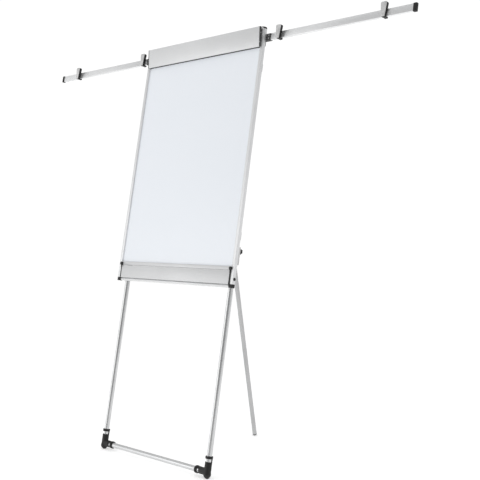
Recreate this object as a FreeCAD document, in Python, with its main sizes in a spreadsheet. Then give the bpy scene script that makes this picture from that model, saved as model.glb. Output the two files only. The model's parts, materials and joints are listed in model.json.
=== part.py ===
"""Flipchart easel: a tilted writing board on a tubular stand, with paper arms and a pen tray.

Everything that follows the board is drawn in the board's own directions and then tilted:
x runs to the right, z up along the legs, and y backwards, square to the board.
z = 0 is the axis of the bottom bar, y = 0 the plane of the front legs' axes, and "front"
offsets are distances in front of that plane, so they are drawn at negative y.
The rear leg is drawn the same way about its hinge axis, and leans the other way.
All lengths are in millimetres.
"""
import FreeCAD, Part
import math
import os
import Sketcher

from FreeCAD import Placement, Rotation, Vector

os.makedirs("parts", exist_ok=True)
doc = FreeCAD.newDocument("flipchart_easel")

# ----------------------------------------------------------------------------------------
# Driving dimensions
# ----------------------------------------------------------------------------------------
DIMENSIONS = {
    # how the easel stands
    "board_tilt": 10.0,
    "rear_tilt": 10.66,
    "origin_shift": 310.9,
    "bar_height": 24.2,
    "leg_spacing": 630.0,
    # tubes
    "inner_radius": 11.0,
    "inner_wall": 1.5,
    "inner_top": 1054.0,
    "outer_radius": 12.5,
    "outer_wall": 1.2,
    "outer_bottom": 812.0,
    "outer_top": 1776.0,
    "fit_gap": 0.05,
    "slide_gap": 0.3,
    # bottom elbows and their pads
    "ball_radius": 15.2,
    "elbow_radius": 14.0,
    "elbow_reach": 60.0,
    "socket_inset": 1.0,
    "collar_radius": 14.9,
    "collar_length": 10.0,
    "window_length": 12.0,
    "pad_radius": 7.0,
    "pad_height": 3.0,
    "pad_proud": 2.0,
    # writing board and its frame
    "board_width": 700.0,
    "board_top": 1766.0,
    "frame_bottom": 779.3,
    "upright_bottom": 723.0,
    "plug_bottom": 709.0,
    "plug_tongue": 14.0,
    "plug_wall": 2.0,
    "stud_head": 6.0,
    "stud_height": 2.5,
    "stud_z": 743.0,
    "frame_back": 17.0,
    "frame_front": 31.7,
    "frame_face": 14.7,
    "frame_wall": 2.0,
    "frame_lip": 5.0,
    "frame_rear_lip": 12.0,
    "frame_rear_wall": 1.2,
    "sheet_thickness": 0.5,
    "panel_gap": 0.3,
    # folding pen tray, in its place when folded up
    "tray_length": 656.4,
    "tray_low": 722.5,
    "tray_high": 777.0,
    "tray_front": 33.7,
    "tray_back": 19.0,
    "tray_heel": 7.0,
    "tray_wall": 1.6,
    "tray_axis_z": 716.0,
    "tray_axis_front": 24.5,
    "tray_lobe": 6.9,
    "tray_pivot": 2.5,
    "rail_bar": 6.2,
    "rail_web": 4.0,
    "rail_back_top": 738.0,
    "catch_x": 333.0,
    "catch_z": 785.0,
    "catch_radius": 7.0,
    "catch_front": 38.0,
    "catch_root": 768.0,
    # paper clamp
    "clamp_width": 680.0,
    "clamp_cap": 4.0,
    "clamp_bottom": 1689.0,
    "clamp_top": 1770.0,
    "clamp_bottom_front": 38.5,
    "clamp_top_front": 50.0,
    "clamp_wall": 1.8,
    "clamp_axis_z": 1765.0,
    "clamp_axis_front": 38.8,
    "barrel_radius": 4.5,
    "rod_radius": 1.8,
    "rod_head_radius": 2.9,
    "rod_head_height": 1.2,
    "clamp_ear": 5.0,
    "clamp_ear_radius": 4.0,
    "cap_setback": 0.2,
    "cap_shoulder": 1.0,
    "grip_height": 5.0,
    "grip_depth": 3.0,
    "grip_bevel": 2.0,
    "grip_margin": 1.0,
    "rail_bottom": 1736.0,
    "rail_thickness": 2.2,
    "rail_drop": 2.0,
    "spring_length": 14.0,
    "spring_radius": 2.5,
    "spring_wire": 0.6,
    "hook_x": 140.0,
    "hook_width": 22.0,
    "hook_pin_radius": 2.5,
    "hook_pin_length": 5.5,
    "hook_pin_rise": 1.5,
    "hook_wall": 2.5,
    "hook_reach": 1.3,
    "hook_drop": 6.0,
    "hook_rise": 9.0,
    # paper arms
    "arm_z": 1730.5,
    "arm_height": 28.0,
    "arm_front": 20.0,
    "arm_thickness": 10.0,
    "arm_wall": 1.2,
    "arm_start": 377.0,
    "arm_end": 1027.0,
    "arm_cap": 14.0,
    "knuckle_radius": 16.0,
    "spigot_length": 25.0,
    "spigot_fit": 0.2,
    "knuckle_step": 3.0,
    "knuckle_back": 6.0,
    "knuckle_bridge": 8.0,
    "knuckle_lip": 1.5,
    "collar_height": 8.0,
    "arm_cap_plug": 18.0,
    "arm_cap_lip": 1.2,
    "screw_above": 8.0,
    "clip_left_inner": 398.0,
    "clip_left_outer": 896.0,
    "clip_right_inner": 424.0,
    "clip_right_outer": 913.0,
    "clip_width": 15.0,
    "clip_top_width": 26.0,
    "clip_plate": 2.0,
    "clip_block": 12.5,
    "clip_wall": 2.4,
    "clip_sleeve": 12.0,
    "clip_corner": 3.0,
    "clip_setback": 0.4,
    "clip_bottom": 1712.0,
    "clip_top": 1768.0,
    # height locks on the front legs
    "sleeve_radius": 19.0,
    "sleeve_bottom": 804.0,
    "sleeve_top": 875.0,
    "sleeve_flat": 16.4,
    "knob_z": 860.0,
    "knob_radius": 12.0,
    "knob_thickness": 10.0,
    "knob_hub_radius": 6.6,
    "knob_hub_rise": 2.0,
    "scallop_radius": 3.36,
    "scallop_reach": 13.68,
    "stud_radius": 3.0,
    # rear leg, measured along it from its hinge axis
    "hinge_z": 1665.0,
    "hinge_behind": 29.1,
    "pin_radius": 4.0,
    "pin_head_radius": 6.4,
    "pin_head_height": 2.5,
    "block_half_width": 30.0,
    "block_half_height": 15.0,
    "block_front": 14.0,
    "block_back": 12.5,
    "hinge_ear_radius": 12.0,
    "knuckle_barrel": 13.0,
    "knuckle_socket": 13.6,
    "knuckle_neck": 22.0,
    "knuckle_overlap": 2.0,
    "knuckle_end": 60.0,
    "rear_outer_radius": 12.0,
    "rear_inner_radius": 10.0,
    "rear_outer_top": 22.0,
    "rear_outer_end": 790.0,
    "rear_inner_top": 560.0,
    "rear_inner_end": 1681.0,
    "rear_sleeve_radius": 17.0,
    "rear_sleeve_start": 734.0,
    "rear_sleeve_end": 800.0,
    "rear_knob_at": 748.0,
    "foot_radius": 10.4,
    "foot_lift": 10.0,
    "foot_plug": 15.0,
    "foot_overlap": 2.0,
    # brackets between the board and the outer tubes
    "cross_radius": 11.0,
    "bracket_low": 905.0,
    "bracket_high": 1600.0,
    "bracket_height": 30.0,
    "bracket_wall": 3.0,
    "bracket_reach": 47.0,
    "bracket_screw_reach": 34.0,
    # small fittings
    "ear_inner": 13.0,
    "ear_thickness": 6.0,
    "boss_radius": 9.0,
    "boss_proud": 1.0,
    "screw_shank": 2.0,
    "screw_head": 3.75,
    "screw_washer": 4.0,
    "screw_head_height": 2.5,
    "bush_head": 8.0,
    "bush_plug": 12.0,
    "leg_cap_height": 10.0,
    "leg_cap_lip": 1.0,
    "window_edge": 6.05,
}


class Size:
    """A length that knows both its value and the spreadsheet expression that gives it."""

    def __init__(self, value, text):
        self.value = float(value)
        self.text = text

    def _join(self, other, sign, value):
        other = other if isinstance(other, Size) else Size(other, repr(float(other)))
        return Size(value(self.value, other.value), "(%s %s %s)" % (self.text, sign, other.text))

    def __add__(self, other):
        return self._join(other, "+", lambda a, b: a + b)

    def __sub__(self, other):
        return self._join(other, "-", lambda a, b: a - b)

    def __mul__(self, other):
        return self._join(other, "*", lambda a, b: a * b)

    def __truediv__(self, other):
        return self._join(other, "/", lambda a, b: a / b)

    def __neg__(self):
        return self * -1.0

    __radd__ = __add__
    __rmul__ = __mul__


def plain(value):
    """A number as a Size, so that helpers can treat all lengths alike."""
    return value if isinstance(value, Size) else Size(value, repr(float(value)))


class Dimensions:
    """The spreadsheet's cells, read as attributes: dim.board_width and so on."""


def make_sheet():
    sheet = doc.addObject("Spreadsheet::Sheet", "Dims")
    sizes = Dimensions()
    for row, (alias, value) in enumerate(DIMENSIONS.items(), start=1):
        sheet.set("A%d" % row, alias)
        sheet.set("B%d" % row, repr(value))
        sheet.setAlias("B%d" % row, alias)
        setattr(sizes, alias, Size(value, "Dims." + alias))
    doc.recompute()
    return sizes


def sine_of(alias):
    return Size(math.sin(math.radians(DIMENSIONS[alias])), "sin(Dims.%s * 1 deg)" % alias)


def cosine_of(alias):
    return Size(math.cos(math.radians(DIMENSIONS[alias])), "cos(Dims.%s * 1 deg)" % alias)


dim = make_sheet()
LEG_X = dim.leg_spacing / 2
HALF_BOARD = dim.board_width / 2
INNER_EDGE = HALF_BOARD - dim.frame_face
TRAY_END = dim.tray_length / 2
PANEL_FRONT = dim.frame_front - dim.frame_lip
PANEL_BACK = dim.frame_back + dim.frame_rear_wall
HALF_ARM = dim.arm_height / 2
SCREW_Z = dim.arm_z + HALF_ARM + dim.screw_above
SIN_TILT = sine_of("board_tilt")
COS_TILT = cosine_of("board_tilt")
SIN_REAR = sine_of("rear_tilt")
COS_REAR = cosine_of("rear_tilt")
HINGE_Y = dim.hinge_z * SIN_TILT + dim.hinge_behind * COS_TILT
HINGE_HEIGHT = dim.hinge_z * COS_TILT - dim.hinge_behind * SIN_TILT + dim.bar_height
BALL_Z = (dim.ball_radius - dim.bar_height) / COS_TILT
FOOT_Z = (dim.foot_lift - HINGE_HEIGHT) / COS_REAR
AXIS_TURN = {"x": Rotation(Vector(0, 1, 0), 90), "y": Rotation(Vector(1, 0, 0), -90), "z": Rotation()}
SIDES = {"left": -1.0, "right": 1.0}
# how far a cutting tool runs past the material it opens
OVERCUT = 1.0
finished = []


# ----------------------------------------------------------------------------------------
# Placing and binding
# ----------------------------------------------------------------------------------------
def bind(thing, **properties):
    """Set properties from sizes, and tie each one to its expression."""
    for name, size in properties.items():
        size = plain(size)
        setattr(thing, name, size.value)
        thing.setExpression(name, size.text)
    return thing


def move_to(thing, x, y, z, turn=Rotation()):
    """Place an object at bound coordinates, with a fixed turn."""
    x, y, z = plain(x), plain(y), plain(z)
    thing.Placement = Placement(Vector(x.value, y.value, z.value), turn)
    thing.setExpression(".Placement.Base.x", x.text)
    thing.setExpression(".Placement.Base.y", y.text)
    thing.setExpression(".Placement.Base.z", z.text)
    return thing


def lean(thing, y, z, angle, axis):
    """Tilt an object about the x direction by a bound angle, at a bound place."""
    thing.Placement = Placement(Vector(0, y.value, z.value), Rotation(axis, angle.value))
    thing.setExpression(".Placement.Base.y", y.text)
    thing.setExpression(".Placement.Base.z", z.text)
    thing.setExpression(".Placement.Rotation.Angle", angle.text)


def finish(thing, label, place):
    """Name a sub-part, put it in its place on the easel, and list it for export."""
    thing.Label = label
    place(thing)
    finished.append(thing)
    return thing


def on_board(thing):
    """The tilt of the front legs and everything fixed to them."""
    lean(thing, -dim.origin_shift, dim.bar_height, dim.board_tilt, Vector(-1, 0, 0))


def on_rear_leg(thing):
    """The tilt of the rear leg, whose hinge axis sits behind the front legs."""
    lean(thing, HINGE_Y - dim.origin_shift, HINGE_HEIGHT, dim.rear_tilt, Vector(1, 0, 0))


def on_floor(thing):
    """Pieces drawn upright, standing on the floor."""
    move_to(thing, 0, -dim.origin_shift, 0)


# ----------------------------------------------------------------------------------------
# Primitives and booleans
# ----------------------------------------------------------------------------------------
def box(x, y, z):
    """A box from three (low, high) pairs."""
    thing = doc.addObject("Part::Box", "Block")
    bind(thing, Length=x[1] - x[0], Width=y[1] - y[0], Height=z[1] - z[0])
    return move_to(thing, x[0], y[0], z[0])


def rod(axis, radius, low, high, across=(0, 0)):
    """A cylinder along x, y or z. across holds its centre in the other two directions."""
    thing = doc.addObject("Part::Cylinder", "Rod")
    low, high = plain(low), plain(high)
    bind(thing, Radius=radius, Height=high - low)
    first, second = across
    place = {"x": (low, first, second), "y": (first, low, second), "z": (first, second, low)}
    return move_to(thing, *place[axis], turn=AXIS_TURN[axis])


def ball(radius, x, y, z):
    thing = doc.addObject("Part::Sphere", "Ball")
    bind(thing, Radius=radius)
    return move_to(thing, x, y, z)


def fuse(*things):
    joined = doc.addObject("Part::MultiFuse", "Joined")
    joined.Shapes = list(things)
    joined.Refine = True
    return joined


def cut(base, *tools):
    tool = tools[0] if len(tools) == 1 else fuse(*tools)
    result = doc.addObject("Part::Cut", "Shaped")
    result.Base = base
    result.Tool = tool
    return result


def common(first, second):
    result = doc.addObject("Part::Common", "Trimmed")
    result.Base = first
    result.Tool = second
    return result


def group(things):
    """Identical loose pieces kept as one compound."""
    result = doc.addObject("Part::Compound", "Set")
    result.Links = list(things)
    return result


def pipe(axis, radius, wall, low, high, across=(0, 0)):
    """A round tube along an axis."""
    return cut(rod(axis, radius, low, high, across),
               rod(axis, radius - wall, plain(low) - OVERCUT, plain(high) + OVERCUT, across))


def sided(side, near, far):
    """An x span given outwards from the middle, on the left (-1) or the right (+1)."""
    near, far = plain(near), plain(far)
    return (near, far) if side > 0 else (-far, -near)


def front_span(near, far):
    """A y span given as offsets in front of the leg axes."""
    return -plain(far), -plain(near)


# ----------------------------------------------------------------------------------------
# Sketch-based bodies
# ----------------------------------------------------------------------------------------
def origin_plane(body, role):
    return next(item for item in body.Origin.OriginFeatures if item.Role == role)


def bound_sketch(body, role, offset, outline):
    """A closed polygon on one of the body's origin planes, every corner bound to the sheet."""
    sketch = body.newObject("Sketcher::SketchObject", "Outline")
    sketch.AttachmentSupport = [(origin_plane(body, role), "")]
    sketch.MapMode = "FlatFace"
    sketch.AttachmentOffset = Placement(Vector(0, 0, plain(offset).value), Rotation())
    sketch.setExpression(".AttachmentOffset.Base.z", plain(offset).text)
    corners = [(plain(u), plain(v)) for u, v in outline]
    count = len(corners)
    for (u0, v0), (u1, v1) in zip(corners, corners[1:] + corners[:1]):
        start = Vector(u0.value, v0.value, 0)
        end = Vector(u1.value, v1.value, 0)
        sketch.addGeometry(Part.LineSegment(start, end), False)
    for index in range(count):
        sketch.addConstraint(Sketcher.Constraint("Coincident", index, 2, (index + 1) % count, 1))
    for index, (u, v) in enumerate(corners):
        for kind, size in (("DistanceX", u), ("DistanceY", v)):
            constraint = sketch.addConstraint(
                Sketcher.Constraint(kind, -1, 1, index, 1, size.value))
            sketch.setExpression("Constraints[%d]" % constraint, size.text)
    return sketch


def pad(role, outline, low, high):
    """A body padded from low to high, square to one of its planes."""
    body = doc.addObject("PartDesign::Body", "Body")
    flipped = role == "XZ_Plane"
    offset = -plain(high) if flipped else plain(low)
    sketch = bound_sketch(body, role, offset, outline)
    feature = body.newObject("PartDesign::Pad", "Pad")
    feature.Profile = sketch
    bind(feature, Length=plain(high) - plain(low))
    sketch.Visibility = False
    return body


def pocket(body, role, outline, low, high):
    """Cut a polygon out of a body between two levels, square to one of its planes."""
    flipped = role == "XZ_Plane"
    offset = -plain(high) if flipped else plain(low)
    sketch = bound_sketch(body, role, offset, outline)
    doc.recompute()
    before = body.Shape.Volume
    feature = body.newObject("PartDesign::Pocket", "Pocket")
    feature.Profile = sketch
    feature.Reversed = True
    bind(feature, Length=plain(high) - plain(low))
    doc.recompute()
    if body.Shape.Volume >= before:
        raise ValueError("a pocket in %s removed nothing" % body.Label)
    return body


# ----------------------------------------------------------------------------------------
# Stand: inner tubes, bottom bar, elbows, pads
# ----------------------------------------------------------------------------------------
def make_stand():
    """The U-shaped base on which the board slides up and down."""
    socket_start = dim.ball_radius - dim.socket_inset
    for name, side in SIDES.items():
        tube = pipe("z", dim.inner_radius, dim.inner_wall, socket_start, dim.inner_top,
                    (LEG_X * side, 0))
        finish(tube, "leg_inner_tube_" + name, on_board)
        finish(make_elbow(side, socket_start), "elbow_" + name, on_board)
    bar_end = LEG_X - socket_start
    finish(pipe("x", dim.inner_radius, dim.inner_wall, -bar_end, bar_end), "bottom_tube", on_board)
    finish(group(make_pad(side) for side in SIDES.values()), "foot_pads", on_floor)
    finish(group(make_bush(side) for side in SIDES.values()), "leg_guide_bushes", on_board)


def toward_floor(radius, length, x, y, z, tilt):
    """A round tool that starts at a point and runs straight down in the standing easel."""
    tool = doc.addObject("Part::Cylinder", "Level")
    bind(tool, Radius=radius, Height=length)
    turn = tilt + 180
    move_to(tool, x, y, z, turn=Rotation(Vector(1, 0, 0), turn.value))
    tool.setExpression(".Placement.Rotation.Angle", turn.text)
    return tool


def make_elbow(side, socket_start):
    """Moulded corner with two sockets, a window in each, and a ball to stand on."""
    x = LEG_X * side
    reach = dim.elbow_reach
    collar = reach - dim.collar_length
    body = fuse(
        rod("z", dim.elbow_radius, 0, reach, (x, 0)),
        rod("z", dim.collar_radius, collar, reach, (x, 0)),
        rod("x", dim.elbow_radius, *sided(side, LEG_X - reach, LEG_X)),
        rod("x", dim.collar_radius, *sided(side, LEG_X - reach, LEG_X - collar)),
        ball(dim.elbow_radius, x, 0, 0),
        rod("z", dim.elbow_radius, BALL_Z, 0, (x, 0)),
        ball(dim.ball_radius, x, 0, BALL_Z),
    )
    window = collar - dim.window_length
    bore = dim.inner_radius + dim.fit_gap
    across = (x - reach, x + reach)
    openings = [
        rod("z", bore, socket_start, reach + OVERCUT, (x, 0)),
        rod("x", bore, *sided(side, LEG_X - reach - OVERCUT, LEG_X - socket_start)),
        box(across, (-reach, dim.window_edge), (window, collar)),
        box(sided(side, LEG_X - collar, LEG_X - window), (-reach, dim.window_edge),
            (-reach, dim.window_edge)),
    ]
    flat = dim.ball_radius - dim.pad_proud
    recess = dim.ball_radius - dim.pad_height - dim.fit_gap
    level = [
        toward_floor(reach, reach, x, SIN_TILT * flat, BALL_Z - COS_TILT * flat, dim.board_tilt),
        toward_floor(dim.pad_radius + dim.fit_gap, reach,
                     x, SIN_TILT * recess, BALL_Z - COS_TILT * recess, dim.board_tilt),
    ]
    return cut(body, *openings, *level)


def make_pad(side):
    """Rubber disc under the ball of an elbow, flat on the floor."""
    return rod("z", dim.pad_radius, 0, dim.pad_height, (LEG_X * side, BALL_Z * SIN_TILT))


def make_bush(side):
    """Plastic plug in the top of an inner tube, on which it runs inside the outer tube."""
    x = LEG_X * side
    running_gap = dim.fit_gap * 2
    head = rod("z", dim.outer_radius - dim.outer_wall - running_gap, dim.inner_top,
               dim.inner_top + dim.bush_head, (x, 0))
    plug = rod("z", dim.inner_radius - dim.inner_wall - dim.fit_gap, dim.inner_top - dim.bush_plug,
               dim.inner_top, (x, 0))
    return fuse(head, plug)


# ----------------------------------------------------------------------------------------
# Writing board: framed steel-faced panel
# ----------------------------------------------------------------------------------------
def make_board():
    for name, side in SIDES.items():
        profile = pad("XY_Plane", frame_section(HALF_BOARD * side, side),
                      dim.upright_bottom, dim.board_top)
        cut_mitre(profile, side, keep_side=True)
        finish(profile, "frame_profile_" + name, on_board)
    rails = {
        "top": (dim.board_top, 1, HALF_BOARD),
        "bottom": (dim.frame_bottom, -1, INNER_EDGE - dim.slide_gap),
    }
    for name, (edge, way, half) in rails.items():
        section = [(y, z) for z, y in frame_section(edge, way)]
        rail = pad("YZ_Plane", section, -half, half)
        if name == "top":
            for side in SIDES.values():
                cut_mitre(rail, side, keep_side=False)
        finish(rail, "frame_profile_" + name, on_board)
    half = HALF_BOARD - dim.frame_wall - dim.panel_gap
    low = dim.frame_bottom + dim.frame_wall + dim.panel_gap
    high = dim.board_top - dim.frame_wall - dim.panel_gap
    skin = dim.sheet_thickness
    layers = {
        "board_back_sheet": (PANEL_BACK, PANEL_BACK + skin),
        "board_core": (PANEL_BACK + skin, PANEL_FRONT - skin),
        "board_surface": (PANEL_FRONT - skin, PANEL_FRONT),
    }
    face = [(-half, low), (half, low), (half, high), (-half, high)]
    for label, depth in layers.items():
        finish(pad("XZ_Plane", face, *front_span(*depth)), label, on_board)
    finish(group(piece for side in SIDES.values() for piece in make_corner(side)),
           "corner_plugs", on_board)


def frame_section(edge, way):
    """Channel that grips the panel's edge, as (across, y) corners; way is +1 or -1 outwards."""
    steps = [
        (plain(0), dim.frame_front),
        (plain(0), dim.frame_back),
        (dim.frame_rear_lip, dim.frame_back),
        (dim.frame_rear_lip, PANEL_BACK),
        (dim.frame_wall, PANEL_BACK),
        (dim.frame_wall, PANEL_FRONT),
        (dim.frame_face, PANEL_FRONT),
        (dim.frame_face, dim.frame_front),
    ]
    return [(edge - distance * way, -depth) for distance, depth in steps]


def cut_mitre(profile, side, keep_side):
    """Cut a profile's top corner along the line through the frame's outer and inner corners."""
    reach = dim.frame_face + OVERCUT
    outer = (HALF_BOARD + OVERCUT) * side
    inner = (HALF_BOARD - reach) * side
    tip = dim.board_top + OVERCUT
    root = dim.board_top - reach
    third = (inner, tip) if keep_side else (outer, root)
    pocket(profile, "XZ_Plane", [(outer, tip), third, (inner, root)],
           -dim.frame_front - OVERCUT, -dim.frame_back + OVERCUT)


def make_corner(side):
    """Moulded foot of an upright, with a tongue inside it and the tray's pivot, and a side stud."""
    tray_axis = (-dim.tray_axis_front, dim.tray_axis_z)
    fit = dim.fit_gap * 2
    foot = box(sided(side, INNER_EDGE, HALF_BOARD), front_span(dim.frame_back, dim.frame_front),
               (dim.plug_bottom, dim.upright_bottom))
    tongue = box(sided(side, INNER_EDGE + dim.plug_wall, HALF_BOARD - dim.frame_wall - fit),
                 front_span(PANEL_BACK + fit, PANEL_FRONT - fit),
                 (dim.upright_bottom, dim.upright_bottom + dim.plug_tongue))
    pivot = rod("x", dim.tray_pivot, *sided(side, TRAY_END + dim.slide_gap, INNER_EDGE),
                across=tray_axis)
    stud = rod("x", dim.stud_head, *sided(side, HALF_BOARD, HALF_BOARD + dim.stud_height),
               across=(-dim.tray_axis_front, dim.stud_z))
    return fuse(foot, tongue, pivot), stud


# ----------------------------------------------------------------------------------------
# Pen tray: a channel folded up flat under the board, hinged at its lower edge
# ----------------------------------------------------------------------------------------
def make_tray():
    axis = (-dim.tray_axis_front, dim.tray_axis_z)
    wall = dim.tray_wall
    front = dim.tray_front
    channel = [
        (front, dim.tray_low),
        (front, dim.tray_high),
        (dim.tray_back, dim.tray_high),
        (dim.tray_back, dim.tray_high - wall),
        (front - wall, dim.tray_high - wall),
        (front - wall, dim.tray_low + wall),
        (front - dim.tray_heel, dim.tray_low + wall),
        (front - dim.tray_heel, dim.tray_low),
    ]
    finish(pad("YZ_Plane", section_of(channel), -TRAY_END, TRAY_END), "tray_profile", on_board)
    finish(group(make_tray_cap(side, axis) for side in SIDES.values()), "tray_end_caps", on_board)
    finish(make_tray_rail(axis), "tray_hinge_rail", on_board)


def make_tray_rail(axis):
    """Rail between the uprights that the tray turns round, with a wall closing the gap behind."""
    end = TRAY_END - dim.slide_gap
    back = dim.frame_back
    half_web = dim.rail_web / 2
    bar = rod("x", dim.rail_bar, -end, end, axis)
    web = box((-end, end), front_span(back, dim.tray_axis_front),
              (dim.tray_axis_z - half_web, dim.tray_axis_z + half_web))
    wall = box((-end, end), front_span(back, back + dim.tray_wall),
               (dim.tray_axis_z - dim.rail_bar, dim.rail_back_top))
    return fuse(bar, web, wall)


def section_of(outline):
    """Corners given as (front offset, z), turned into (y, z) sketch corners."""
    return [(-plain(front), z) for front, z in outline]


def make_tray_cap(side, axis):
    """Moulded end of the tray: a plate, a lobe round the pivot, and a round catch on the frame."""
    span = sided(side, TRAY_END + dim.slide_gap, INNER_EDGE - dim.slide_gap)
    outline = [
        (dim.tray_back, dim.tray_high),
        (dim.tray_front, dim.tray_high),
        (dim.tray_front, dim.tray_low),
        (dim.tray_axis_front + dim.tray_lobe, dim.tray_axis_z),
        (dim.tray_axis_front - dim.tray_lobe, dim.tray_axis_z),
        (dim.tray_back, dim.tray_axis_z + dim.tray_lobe * 2),
    ]
    catch_back = dim.frame_front + dim.slide_gap
    solid = fuse(
        pad("YZ_Plane", section_of(outline), *span),
        rod("x", dim.tray_lobe, *span, across=axis),
        box(span, front_span(catch_back, dim.tray_front + dim.tray_wall),
            (dim.catch_root, dim.catch_z)),
        rod("y", dim.catch_radius, -dim.catch_front, -catch_back, (dim.catch_x * side, dim.catch_z)),
    )
    bore = rod("x", dim.tray_pivot + dim.fit_gap, *sided(side, TRAY_END, INNER_EDGE), across=axis)
    return cut(solid, bore)


# ----------------------------------------------------------------------------------------
# Paper clamp along the top edge
# ----------------------------------------------------------------------------------------
def make_clamp():
    half = dim.clamp_width / 2
    cap_start = half - dim.clamp_cap
    axis = (-dim.clamp_axis_front, dim.clamp_axis_z)
    finish(make_clamp_rail(half, axis), "clamp_rail", on_board)
    ear_end = half + dim.slide_gap + dim.clamp_ear
    rod_ends = [rod("x", dim.rod_head_radius, *sided(side, ear_end, ear_end + dim.rod_head_height),
                    across=axis) for side in SIDES.values()]
    hinge_rod = fuse(rod("x", dim.rod_radius, -ear_end, ear_end, axis), *rod_ends)
    finish(hinge_rod, "clamp_hinge_rod", on_board)
    finish(make_clamp_bar(cap_start, axis), "clamp_bar", on_board)
    caps = [make_clamp_cap(side, cap_start, half, axis) for side in SIDES.values()]
    finish(group(caps), "clamp_end_caps", on_board)
    finish(group(make_spring(side, cap_start) for side in SIDES.values()), "clamp_springs", on_board)
    grip_front = grip_seat()
    grip = [
        (grip_front, dim.clamp_bottom),
        (grip_front, dim.clamp_bottom + dim.grip_height),
        (PANEL_FRONT + dim.grip_depth, dim.clamp_bottom + dim.grip_height + dim.grip_bevel),
        (PANEL_FRONT + dim.slide_gap, dim.clamp_bottom + dim.grip_height - dim.grip_margin),
        (PANEL_FRONT + dim.slide_gap, dim.clamp_bottom - dim.grip_margin),
        (PANEL_FRONT + dim.grip_depth, dim.clamp_bottom - dim.grip_margin),
    ]
    grip_end = INNER_EDGE - dim.grip_margin
    finish(pad("YZ_Plane", section_of(grip), -grip_end, grip_end), "clamp_grip_strip", on_board)
    for name, side in SIDES.items():
        finish(make_paper_hook(side), "paper_hook_" + name, on_board)


def grip_seat():
    """Front offset of the face that carries the soft strip."""
    return dim.frame_front + dim.rail_thickness + dim.slide_gap


def make_clamp_rail(half, axis):
    """Strip screwed to the frame, with an ear at each end that carries the hinge rod."""
    back = dim.frame_front
    front = back + dim.rail_thickness
    top = dim.clamp_top - dim.rail_drop
    ear_near = half + dim.slide_gap
    ear_far = ear_near + dim.clamp_ear
    strip = box((-ear_far, ear_far), front_span(back, front), (dim.rail_bottom, top))
    ears = []
    for side in SIDES.values():
        span = sided(side, ear_near, ear_far)
        ears.append(box(span, front_span(back, dim.clamp_axis_front),
                        (dim.clamp_axis_z - dim.clamp_ear_radius, top)))
        ears.append(rod("x", dim.clamp_ear_radius, *span, across=axis))
    hole = rod("x", dim.rod_radius + dim.fit_gap, -half * 2, half * 2, axis)
    return cut(fuse(strip, *ears), hole)


def make_clamp_bar(end, axis):
    """Wedge-shaped extrusion: front skin, top flange with a hinge barrel, bottom return."""
    wall = dim.clamp_wall
    seat = grip_seat()
    skin = [
        (dim.clamp_axis_front, dim.clamp_top),
        (dim.clamp_top_front, dim.clamp_top),
        (dim.clamp_bottom_front, dim.clamp_bottom),
        (seat, dim.clamp_bottom),
        (seat, dim.clamp_bottom + dim.grip_height),
        (seat + wall, dim.clamp_bottom + dim.grip_height),
        (seat + wall, dim.clamp_bottom + wall),
        (dim.clamp_bottom_front - wall, dim.clamp_bottom + wall),
        (dim.clamp_top_front - wall, dim.clamp_top - wall),
        (dim.clamp_axis_front, dim.clamp_top - wall),
    ]
    bar = pad("YZ_Plane", section_of(skin), -end, end)
    barrel_end = end - dim.spring_length
    barrel = rod("x", dim.barrel_radius, -barrel_end, barrel_end, axis)
    bore = rod("x", dim.rod_radius + dim.slide_gap, -end * 2, end * 2, axis)
    return cut(fuse(bar, barrel), bore)


def make_clamp_cap(side, start, end, axis):
    """End plate of the wedge, turning on the hinge rod."""
    rear = grip_seat() + dim.cap_setback
    outline = [
        (dim.clamp_axis_front, dim.clamp_top),
        (dim.clamp_top_front, dim.clamp_top),
        (dim.clamp_bottom_front, dim.clamp_bottom),
        (rear, dim.clamp_bottom),
        (rear, dim.clamp_axis_z + dim.cap_shoulder),
    ]
    plate = pad("YZ_Plane", section_of(outline), *sided(side, start, end))
    return cut(plate, rod("x", dim.rod_radius + dim.fit_gap, -end * 2, end * 2, axis))


def make_spring(side, end):
    """Closing spring, coiled round the hinge rod beside the barrel."""
    helix = doc.addObject("Part::Helix", "Coil")
    clearance = 1.5
    length = dim.spring_length - clearance * 2
    turns = 7
    bind(helix, Pitch=length / turns, Height=length, Radius=dim.spring_radius)
    wire = doc.addObject("Part::Circle", "Wire")
    bind(wire, Radius=dim.spring_wire)
    move_to(wire, dim.spring_radius, 0, 0, turn=Rotation(Vector(1, 0, 0), 90))
    coil = doc.addObject("Part::Sweep", "Spring")
    coil.Sections = [wire]
    coil.Spine = (helix, ["Edge1"])
    coil.Solid = True
    coil.Frenet = True
    start = sided(side, end - dim.spring_length + clearance, end - clearance)[0]
    move_to(coil, start, -dim.clamp_axis_front, dim.clamp_axis_z, turn=AXIS_TURN["x"])
    return coil


def make_paper_hook(side):
    """Sliding hook: a clip over the rail's lower edge with a pin for the pad's punched hole."""
    gap = dim.slide_gap
    x = dim.hook_x * side
    span = (x - dim.hook_width / 2, x + dim.hook_width / 2)
    rail_front = dim.frame_front + dim.rail_thickness + gap
    front = rail_front + dim.hook_wall
    rear = PANEL_FRONT + dim.hook_reach
    low = dim.rail_bottom - dim.hook_drop
    leg_top = dim.rail_bottom + dim.hook_rise
    return fuse(
        box(span, front_span(rail_front, front), (low, leg_top)),
        box(span, front_span(rear, front), (low, dim.rail_bottom - gap)),
        box(span, front_span(rear, dim.frame_front - gap), (low, leg_top)),
        rod("y", dim.hook_pin_radius, -front - dim.hook_pin_length, -front,
            (x, dim.rail_bottom + dim.hook_pin_rise)),
    )


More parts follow.
